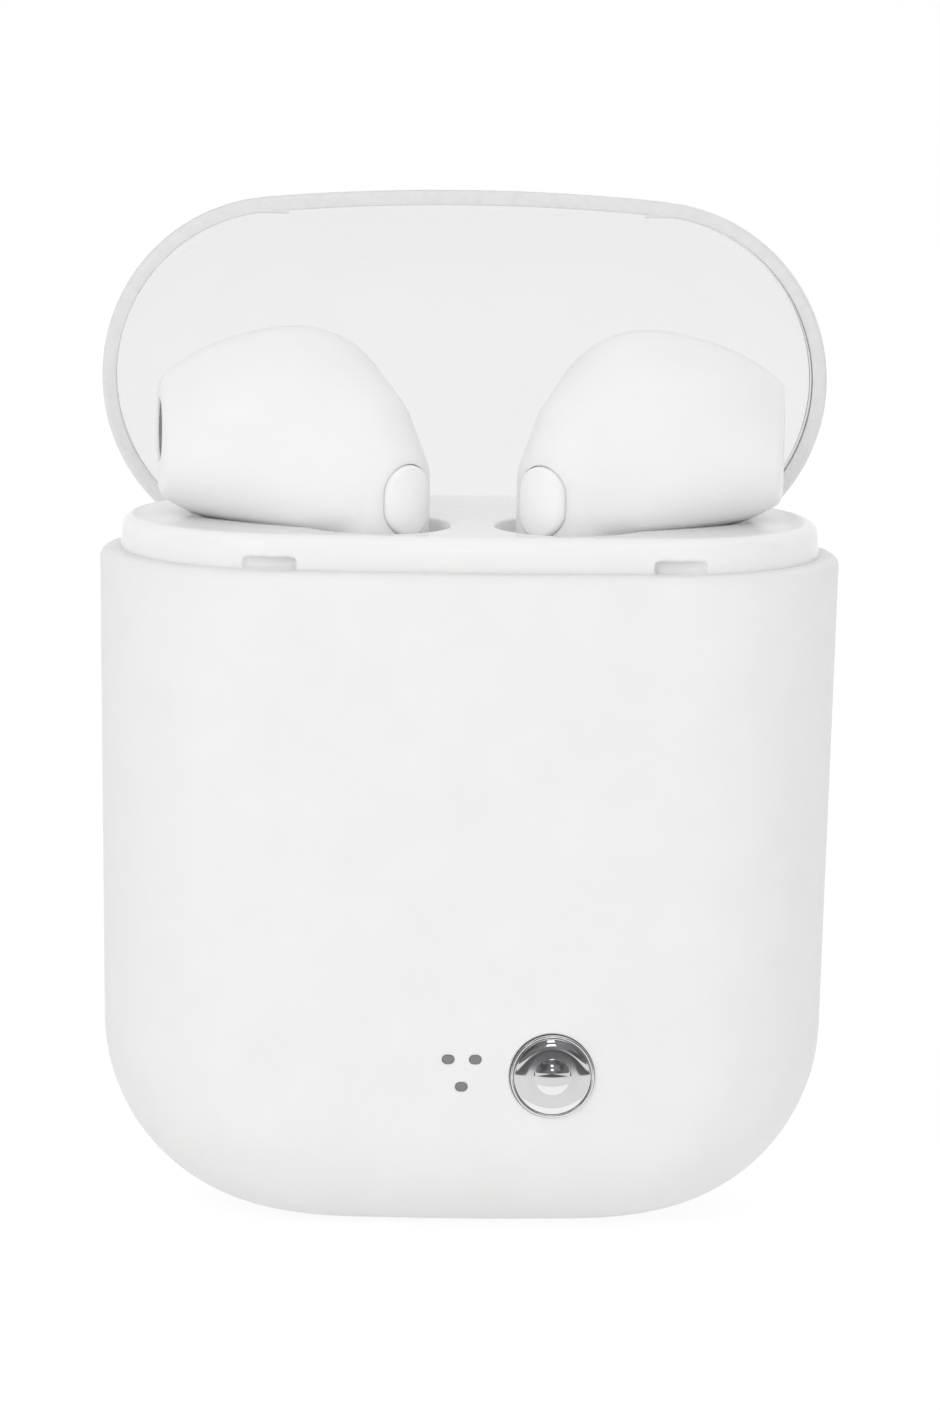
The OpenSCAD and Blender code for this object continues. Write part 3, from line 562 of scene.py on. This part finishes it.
# ---------------------------------------------------------------- tray
def tray():
    skirt = LEDGE + 0.1
    collar = [ring(skirt, 0, 0, RIM_Z - SKIRT_H), ring(skirt, 0, 0, RIM_Z - 0.02), ring(LEDGE, 0, 0, RIM_Z)]
    collar += [ring(skirt + COLLAR_ROUND * (1 - cos(a)), 0, 0, TRAY_TOP - COLLAR_ROUND * (1 - sin(a)))
               for a in turns(0, 90, 9)]
    deck = loft("tray", collar)
    boolean(deck, [block((-NOTCH_X - 0.1, HINGE_Y - BARREL_R - 0.3, RIM_Z - SKIRT_H - 1),
                         (NOTCH_X + 0.1, HINGE_Y + 5, RIM_Z - 0.3))])
    wall, top = 1.2, TRAY_TOP - 0.8
    for side in (-1, 1):
        at = Matrix.Translation((side * STEM_X, STEM_Y, 0))
        well = lathe("well", [(0, WELL_FLOOR - wall), (WELL_R + wall, WELL_FLOOR - wall),
                              (WELL_R + wall, top), (0, top)], 64)
        boolean(deck, [place(well, at)], "UNION")
    for side in (-1, 1):
        at = Matrix.Translation((side * STEM_X, STEM_Y, 0))
        hole = lathe("hole", [(0, WELL_FLOOR), (WELL_R, WELL_FLOOR), (WELL_R, TRAY_TOP - MOUTH_H),
                              (MOUTH_R, TRAY_TOP), (MOUTH_R, TRAY_TOP + 1), (0, TRAY_TOP + 1)], 64)
        bed = [nozzle_frame() @ Matrix.Rotation(a, 4, "Z") @ Vector((r, 0, d))
               for a in turns(0, 357, 3) for r, d in head_profile(-BED_GAP, NOZZLE_LEN)]
        room = hull("room", sphere_points((STEM_X, STEM_Y, STEM_TOP), STEM_R + BED_GAP)
                    + sphere_points(NECK, STEM_R + BED_GAP) + bed)
        window_y = front_y(LEDGE, CATCH_X)
        low_x = side * CATCH_X - CATCH_W / 2
        window = block((low_x, window_y - 1, RIM_Z - 0.05),
                       (low_x + CATCH_W, window_y + 0.8, RIM_Z + CATCH_H))
        boolean(deck, [place(hole, at), place(room, Matrix.Scale(side, 4, (1, 0, 0))), window])
    remesh(deck, voxel=0.16, rounds=5)
    return finish(deck, "case", materials["tray_white"], ["inner_tray"], sharp=60)


# ---------------------------------------------------------------- lid
def lid():
    inner = LID_TOP - LID_WALL
    soft, hard = 0.4, 0.15  # rounding of the rim's outer and inner edge
    ridge_r, ridge_root, pin_gap = 0.35, 0.3, 0.05
    rings = []
    for a in turns(90, 0, ROUND_STEP):
        s = (LID_END_R - LID_WALL) * (1 - sin(a))
        rings.append(ring(LID_WALL, quarter(LID_END_R - LID_WALL, s), quarter(LID_SIDE_R - LID_WALL, s),
                          inner - s))
    rings += [ring(LID_WALL - hard * (1 - cos(a)), 0, 0, LID_Z + hard * (1 - sin(a)))
              for a in turns(0, 90, 30)]
    rings += [ring(soft * (1 - cos(a)), 0, 0, LID_Z + soft * (1 - sin(a))) for a in turns(90, 0, 15)]
    for a in turns(0, 90, ROUND_STEP):
        s = LID_END_R * (1 - sin(a))
        rings.append(ring(0, quarter(LID_END_R, s), quarter(LID_SIDE_R, s), LID_TOP - s))
    dome = loft("lid_dome", rings)
    knuckle = place(bar(BARREL_R, -KNUCKLE_X, KNUCKLE_X), Matrix.Translation((0, HINGE_Y, HINGE_Z)))
    leaf = block((-KNUCKLE_X, HINGE_Y + 0.1, HINGE_Z), (KNUCKLE_X, HINGE_Y + BARREL_R - 0.05, LID_Z + 0.2))
    ridges = []
    front = front_y(LID_WALL, CATCH_X)
    for side in (-1, 1):
        half = CATCH_W / 2 - ridge_r
        section = [(-ridge_r, -ridge_root)]
        section += [(-ridge_r * cos(a), RIDGE_OUT * sin(a)) for a in turns(0, 180, 20)]
        section += [(ridge_r, -ridge_root)]
        ridge = loft("ridge", [[(x, front + v, LID_Z + 0.4 + u) for u, v in section]
                               for x in (side * CATCH_X - half, side * CATCH_X + half)])
        ridges.append(ridge)
    boolean(dome, [knuckle, leaf] + ridges, "UNION")
    boolean(dome, [place(bar(PIN_R + pin_gap, -KNUCKLE_X - 1, KNUCKLE_X + 1),
                         Matrix.Translation((0, HINGE_Y, HINGE_Z)))])
    rim_low, rim_high = LID_Z - 0.01, LID_Z + soft + 0.01
    rim = [f.index for f in dome.data.polygons
           if max(dome.data.vertices[v].co.z for v in f.vertices) < rim_high and f.center.z > rim_low]
    place(dome, Matrix.Translation((0, HINGE_Y, HINGE_Z)) @ Matrix.Rotation(radians(-OPEN_ANGLE), 4, "X")
          @ Matrix.Translation((0, -HINGE_Y, -HINGE_Z)))
    finish(dome, "lid", materials["lid_clear"], ["lid"], sharp=30)
    dome.visible_shadow = False  # clear plastic lets the light through to the earbuds
    # The rim faces take the grey edge material, whose tone is painted shade.
    dome.data.materials.append(materials["lid_rim"])
    for index in rim:
        dome.data.polygons[index].material_index = 1


# ---------------------------------------------------------------- earbuds
def bud_solid():
    """Head, nozzle and stem as one blended solid."""
    solid = hull("bud", nozzle_points() + sphere_points((STEM_X, STEM_Y, STEM_TOP), STEM_R)
                 + sphere_points(BEND, BEND_R) + sphere_points(NECK, STEM_R))
    foot = STEM_Z + CAP_T
    stem = lathe("stem", [(0, foot), (STEM_R, foot), (STEM_R, STEM_TOP), (0, STEM_TOP)], 72)
    boolean(solid, [place(stem, Matrix.Translation((STEM_X, STEM_Y, 0)))], "UNION")
    remesh(solid, voxel=0.2, rounds=8)
    return boolean(solid, [block((-5, -20, STEM_Z - 5), (25, 20, foot + 0.25))])


def bud_cutters():
    bore_r, bore_top = STEM_R - BUD_WALL, STEM_TOP + 1.2
    bore = lathe("bore", [(0, STEM_Z - 1), (bore_r, STEM_Z - 1), (bore_r, bore_top), (0, bore_top)], 48)
    hollow = lathe("hollow", head_profile(BUD_WALL, NOZZLE_LEN - BUD_WALL - 0.3), 48)
    seat, deep, past, key_gap = -GRILLE_T - GRILLE_IN, -2.5, 2, 0.09
    throat_r, seat_r, mouth_r = GRILLE_R - 0.5, GRILLE_R + 0.03, GRILLE_R + 0.13
    throat = lathe("throat", [(0, deep), (throat_r, deep), (throat_r, seat), (seat_r, seat),
                              (seat_r, -0.1), (mouth_r, 0.02), (mouth_r, past), (0, past)], 72)
    recess = loft("recess", [[(u, v, h) for u, v in capsule(KEY_W + key_gap, KEY_H + 2 * key_gap)]
                             for h in (0, 7)])
    return [place(bore, Matrix.Translation((STEM_X, STEM_Y, 0))),
            place(hollow, nozzle_frame()),
            place(throat, face_frame() @ Matrix.Translation((-GRILLE_UP, 0, 0))),
            place(recess, key_frame())]


def bud_key():
    """Capsule key on the stem with a rounded edge, following the round of the stem."""
    proud, edge, skirt_out, root = STEM_R + 0.3, 0.32, 0.07, 1.3
    levels, steps = 8, 20
    lift = STEM_TOP - KEY_Z

    def height(u, v):
        up = max(0.0, v - lift)
        return sqrt(max(0.0, proud * proud - u * u - up * up))

    shape = capsule(KEY_W, KEY_H, steps)
    rings = []
    for k in range(levels):
        f = k / levels * (1 - edge / KEY_W)
        rings.append([(u * f, v * f, height(u * f, v * f)) for u, v in shape])
    for a in turns(0, 90, 15):
        inset = edge * (1 - sin(a))
        small = capsule(KEY_W - inset, KEY_H - 2 * inset, steps)
        rings.append([(u, v, height(u, v) - edge * (1 - cos(a))) for u, v in small])
    skirt = capsule(KEY_W + skirt_out, KEY_H + 2 * skirt_out, steps)
    rings.append([(u, v, height(u, v) - edge - 0.15) for u, v in shape])
    rings.append([(u, v, height(u, v) - edge - 0.25) for u, v in skirt])
    rings.append([(u, v, root) for u, v in skirt])
    key = loft("key", rings)
    face_outwards(key.data, merge=1e-4)
    return place(key, key_frame())


def gauze():
    """Perforated speaker plate with rows of fine holes."""
    pitch, hole, edge, reach = 0.5, 0.16, GRILLE_R - 0.35, 5
    bm = bmesh.new()
    loops = [(0, 0, GRILLE_R, 64)]
    for row in range(-reach, reach + 1):
        for col in range(-reach, reach + 1):
            x, y = (col + 0.5 * (row % 2)) * pitch, row * pitch * 0.866
            if x * x + y * y < edge * edge:
                loops.append((x, y, hole, 10))
    edges = []
    for x, y, r, steps in loops:
        vs = [bm.verts.new((x + r * cos(2 * pi * i / steps), y + r * sin(2 * pi * i / steps), 0))
              for i in range(steps)]
        edges += [bm.edges.new((vs[i], vs[(i + 1) % steps])) for i in range(steps)]
    bmesh.ops.triangle_fill(bm, use_beauty=True, edges=edges)
    out = bmesh.ops.extrude_face_region(bm, geom=bm.faces[:])
    moved = [g for g in out["geom"] if isinstance(g, bmesh.types.BMVert)]
    bmesh.ops.translate(bm, verts=moved, vec=(0, 0, GRILLE_T))
    bmesh.ops.recalc_face_normals(bm, faces=bm.faces)
    mesh = bpy.data.meshes.new("gauze")
    bm.to_mesh(mesh)
    bm.free()
    plate = add_to_scene("gauze", mesh)
    return place(plate, face_frame() @ Matrix.Translation((-GRILLE_UP, 0, -GRILLE_T - GRILLE_IN)))


def end_cap():
    edge, break_edge = 0.5, 0.06
    plug_r, plug_top = STEM_R - BUD_WALL - 0.02, CAP_T + 1.1
    contact_x, contact_r, sound_r = 1.7, 0.72, 0.4
    profile = [(0, 0), (STEM_R - edge, 0)]
    profile += [(STEM_R - edge + edge * sin(a), edge - edge * cos(a)) for a in turns(15, 90, 15)]
    profile += [(STEM_R, CAP_T - break_edge), (STEM_R - break_edge, CAP_T), (plug_r, CAP_T),
                (plug_r, plug_top), (0, plug_top)]
    cap = lathe("cap", profile, 72)
    holes = []
    for x, r in ((-contact_x, contact_r), (contact_x, contact_r), (0, sound_r)):
        hole = lathe("hole", [(0, -1), (r, -1), (r, 4), (0, 4)], 32)
        holes.append(place(hole, Matrix.Translation((x, 0, 0))))
    boolean(cap, holes)
    return place(cap, Matrix.Translation((STEM_X, STEM_Y, STEM_Z)))


def copy_of(obj, name):
    return add_to_scene(name, obj.data.copy())


def earbuds():
    solid = bud_solid()
    seam = 0.02
    halves = {"front": block((-5, HEAD_Y - 30, 0), (40, HEAD_Y - seam, 90)),
              "rear": block((-5, HEAD_Y + seam, 0), (40, HEAD_Y + 30, 90))}
    made = []
    for name, half in halves.items():
        piece = boolean(copy_of(solid, name), [half], "INTERSECT")
        boolean(piece, bud_cutters())
        made.append((name + "_shell_skin", piece, "earbud", "bud_white", name + "_shell", 40))
    bpy.data.objects.remove(solid)
    made.append(("key", bud_key(), "button", "bud_button", "button", 50))
    made.append(("gauze", gauze(), "earbud", "mesh_grey", "grille", 30))
    made.append(("cap", end_cap(), "earbud", "bud_white", "end_cap", 30))
    for side, sign in (("left", -1), ("right", 1)):
        for name, piece, body, slot, node, sharp in made:
            twin = copy_of(piece, f"{side}_{name}")
            place(twin, Matrix.Scale(sign, 4, (1, 0, 0)))
            finish(twin, f"{side}_{body}", materials[slot], [f"{side}_{node}"], sharp)
    for entry in made:
        bpy.data.objects.remove(entry[1])


# ---------------------------------------------------------------- power button
def power_button():
    """Plated button: a ring-shaped swell with a low round boss in its middle."""
    face = front_y(lean(BUTTON_Z), BUTTON_X)
    swell_r, crest, boss_r, boss_round = 3.2, 1.84, 1.35, 3.4
    base, rim_round, swell_steps, boss_steps = 0.34, 0.12, 24, 14
    flange_r, flange_low, flange_top = BUTTON_R + RING_T - 0.05, -1.75, -1.35
    edge = [(0, flange_low), (flange_r, flange_low), (flange_r, flange_top),
            (BUTTON_R, flange_top), (BUTTON_R, -0.05)]

    def swell_z(r):
        return base - swell_r + sqrt(swell_r ** 2 - max(0, r - crest) ** 2)

    last = BUTTON_R - rim_round
    swell = [(last + rim_round * sin(a), swell_z(last) - rim_round * (1 - cos(a)))
             for a in turns(90, 20, 14)]
    swell += [(r, swell_z(r)) for r in [last - k * (last - boss_r) / swell_steps
                                        for k in range(swell_steps + 1)]]
    boss_low = boss_round - sqrt(boss_round ** 2 - boss_r ** 2)
    boss = []
    for k in range(1, boss_steps + 1):
        r = boss_r * (1 - k / boss_steps)
        rise = boss_low - (boss_round - sqrt(boss_round ** 2 - r * r))
        boss.append((r, swell_z(boss_r) + rise))
    button = lathe("power_button_cap", edge + swell + boss, 128)
    at = along_y(face, BUTTON_X, BUTTON_Z) @ Matrix.Rotation(pi, 4, "X")
    post_r, post_low, post_top = 1.2, -6, -1.5
    post = lathe("post", [(0, post_low), (post_r, post_low), (post_r, post_top), (0, post_top)], 40)
    boolean(button, [post], "UNION")
    place(button, at)
    finish(button, "power_button", materials["button_chrome"], ["power_button"], sharp=50)
    outer, inner = BUTTON_R + RING_T, BUTTON_R + 0.02
    middle, half, low, proud = (outer + inner) / 2, (outer - inner) / 2, -1.25, 0.1
    loop = [(outer, low), (outer, proud)]
    loop += [(middle + half * cos(a), proud + proud * sin(a)) for a in turns(15, 165, 15)]
    trim = washer("power_button_ring", loop + [(inner, proud), (inner, low)], 128)
    place(trim, at)
    finish(trim, "case", materials["button_chrome"], ["button_ring"], sharp=50)


body_shell()
tray()
lid()
earbuds()
power_button()


# ---------------------------------------------------------------- stage
def lamp(name, at, aim, size, watts):
    data = bpy.data.lights.new(name, "AREA")
    data.shape, data.size, data.energy = "DISK", size, watts
    obj = add_to_scene(name, data)
    obj.location = at
    obj.rotation_euler = (Vector(aim) - Vector(at)).to_track_quat("-Z", "Y").to_euler()
    obj.visible_camera = obj.visible_glossy = obj.visible_transmission = False


def glow(name, colour, strength, blotches=0.0):
    """Emission, in blotches of other brightness where asked; in clear plastic it shows plain white."""
    material = bpy.data.materials.new(name)
    material.use_nodes = True
    tree = material.node_tree
    tree.nodes.remove(tree.nodes["Principled BSDF"])
    emission = tree.nodes.new("ShaderNodeEmission")
    emission.inputs["Color"].default_value = (*colour, 1)
    noise = tree.nodes.new("ShaderNodeTexNoise")
    noise.inputs["Scale"].default_value = 3.5
    level = tree.nodes.new("ShaderNodeMapRange")
    for key, number in (("From Min", 0.35), ("From Max", 0.65), ("To Min", strength * (1 - blotches)),
                        ("To Max", strength * (1 + blotches))):
        level.inputs[key].default_value = number
    coords = tree.nodes.new("ShaderNodeTexCoord")
    tree.links.new(coords.outputs["Object"], noise.inputs["Vector"])
    tree.links.new(noise.outputs["Fac"], level.inputs["Value"])
    tree.links.new(level.outputs["Result"], emission.inputs["Strength"])
    white = tree.nodes.new("ShaderNodeEmission")
    path = tree.nodes.new("ShaderNodeLightPath")
    through = tree.nodes.new("ShaderNodeMath")
    tree.links.new(path.outputs["Transmission Depth"], through.inputs[0])
    tree.links.new(path.outputs["Is Singular Ray"], through.inputs[1])
    mix = tree.nodes.new("ShaderNodeMixShader")
    tree.links.new(through.outputs[0], mix.inputs["Fac"])
    tree.links.new(emission.outputs[0], mix.inputs[1])
    tree.links.new(white.outputs[0], mix.inputs[2])
    tree.links.new(mix.outputs[0], tree.nodes["Material Output"].inputs["Surface"])
    return material


def reflected_only(name, verts, faces, material):
    """A studio surface that only shows in reflections."""
    mesh = bpy.data.meshes.new(name)
    mesh.from_pydata(verts, [], faces)
    mesh.materials.append(material)
    obj = add_to_scene(name, mesh)
    obj.visible_camera = obj.visible_diffuse = obj.visible_shadow = obj.visible_transmission = False
    return obj


def card(name, at, aim, width, height, material):
    w, h = width / 2, height / 2
    obj = reflected_only(name, [(-w, -h, 0), (w, -h, 0), (w, h, 0), (-w, h, 0)], [(0, 1, 2, 3)], material)
    obj.location = at
    obj.rotation_euler = (Vector(aim) - Vector(at)).to_track_quat("Z", "Y").to_euler()


def round_wall(name, radius, low, high, half_angle, material):
    """Wall bent round the front of the case."""
    count = 24
    turned = [radians(-half_angle + 2 * half_angle * k / count) for k in range(count + 1)]
    verts = [(radius * sin(a), -radius * cos(a), z) for a in turned for z in (low, high)]
    faces = [(2 * k, 2 * k + 2, 2 * k + 3, 2 * k + 1) for k in range(count)]
    reflected_only(name, verts, faces, material)


def seen_directly(tree):
    """1 for camera, glossy and transmission rays, otherwise 0."""
    path = tree.nodes.new("ShaderNodeLightPath")
    value = path.outputs["Is Camera Ray"]
    for ray in ("Is Glossy Ray", "Is Transmission Ray"):
        node = tree.nodes.new("ShaderNodeMath")
        node.operation = "MAXIMUM"
        tree.links.new(value, node.inputs[0])
        tree.links.new(path.outputs[ray], node.inputs[1])
        value = node.outputs[0]
    return value


def add_floor():
    mesh = bpy.data.meshes.new("floor")
    size, drop = 4.0, 0.00005
    own_light, shade_share, seen_share = 1.09, 0.38, 0.4
    corners = [(-size, -size, -drop), (size, -size, -drop), (size, size, -drop), (-size, size, -drop)]
    mesh.from_pydata(corners, [], [(0, 1, 2, 3)])
    floor = add_to_scene("floor", mesh)
    material = bpy.data.materials.new("floor_paper")
    material.use_nodes = True
    tree = material.node_tree
    tree.nodes.remove(tree.nodes["Principled BSDF"])
    paper = tree.nodes.new("ShaderNodeBsdfDiffuse")
    paper.inputs["Color"].default_value = (0.86, 0.86, 0.86, 1)
    light = tree.nodes.new("ShaderNodeEmission")
    light.inputs["Strength"].default_value = own_light
    share = tree.nodes.new("ShaderNodeMath")
    share.operation = "MULTIPLY_ADD"
    share.inputs[1].default_value, share.inputs[2].default_value = seen_share, shade_share
    tree.links.new(seen_directly(tree), share.inputs[0])
    mix = tree.nodes.new("ShaderNodeMixShader")
    tree.links.new(share.outputs[0], mix.inputs["Fac"])
    tree.links.new(paper.outputs[0], mix.inputs[1])
    tree.links.new(light.outputs[0], mix.inputs[2])
    tree.links.new(mix.outputs[0], tree.nodes["Material Output"].inputs["Surface"])
    mesh.materials.append(material)


def add_world(ambient):
    world = bpy.data.worlds.new("studio")
    bpy.context.scene.world = world
    world.use_nodes = True
    tree = world.node_tree
    background = tree.nodes["Background"]
    background.inputs["Color"].default_value = (1, 1, 1, 1)
    strength = tree.nodes.new("ShaderNodeMapRange")
    strength.inputs["To Min"].default_value = ambient
    strength.inputs["To Max"].default_value = 1.0
    tree.links.new(seen_directly(tree), strength.inputs["Value"])
    tree.links.new(strength.outputs["Result"], background.inputs["Strength"])


def add_studio():
    add_floor()
    add_world(0.78)
    middle = (0, 0, 0.035)  # about the middle of the case with its lid open
    lamp("key", (-0.3, -0.6, 0.45), middle, 0.45, 1.1)
    lamp("fill", (0.1, -0.8, 0.2), middle, 0.4, 0.5)
    lamp("back", (0.1, 0.5, 0.5), middle, 0.4, 0.4)
    dark, bright = glow("room_dark", (1, 1, 1.03), 0.15, 0.5), glow("lamp_face", (1, 1, 1), 2.2)
    round_wall("room", 1.05, 0.0, 1.3, 100, dark)
    pale = glow("apron_pale", (1, 1, 1), 0.8, 0.08)
    card("apron", (0, -0.54, 0.0005), (0, -0.54, 1), 1.8, 1.02, pale)
    card("stand", (0.01, -0.52, 0.002), (0.01, -0.52, 1), 0.10, 0.9, dark)
    card("lamp_left", (-0.5, -0.82, 0.52), middle, 0.36, 0.12, bright)
    card("lamp_right", (0.22, -0.85, 0.72), middle, 0.34, 0.10, bright)
    card("lamp_high", (0.02, -0.95, 0.34), middle, 0.10, 0.08, bright)
    card("lamp_low", (0.03, -0.95, 0.16), middle, 0.09, 0.07, bright)


bpy.context.scene.view_settings.view_transform = "Standard"
add_studio()
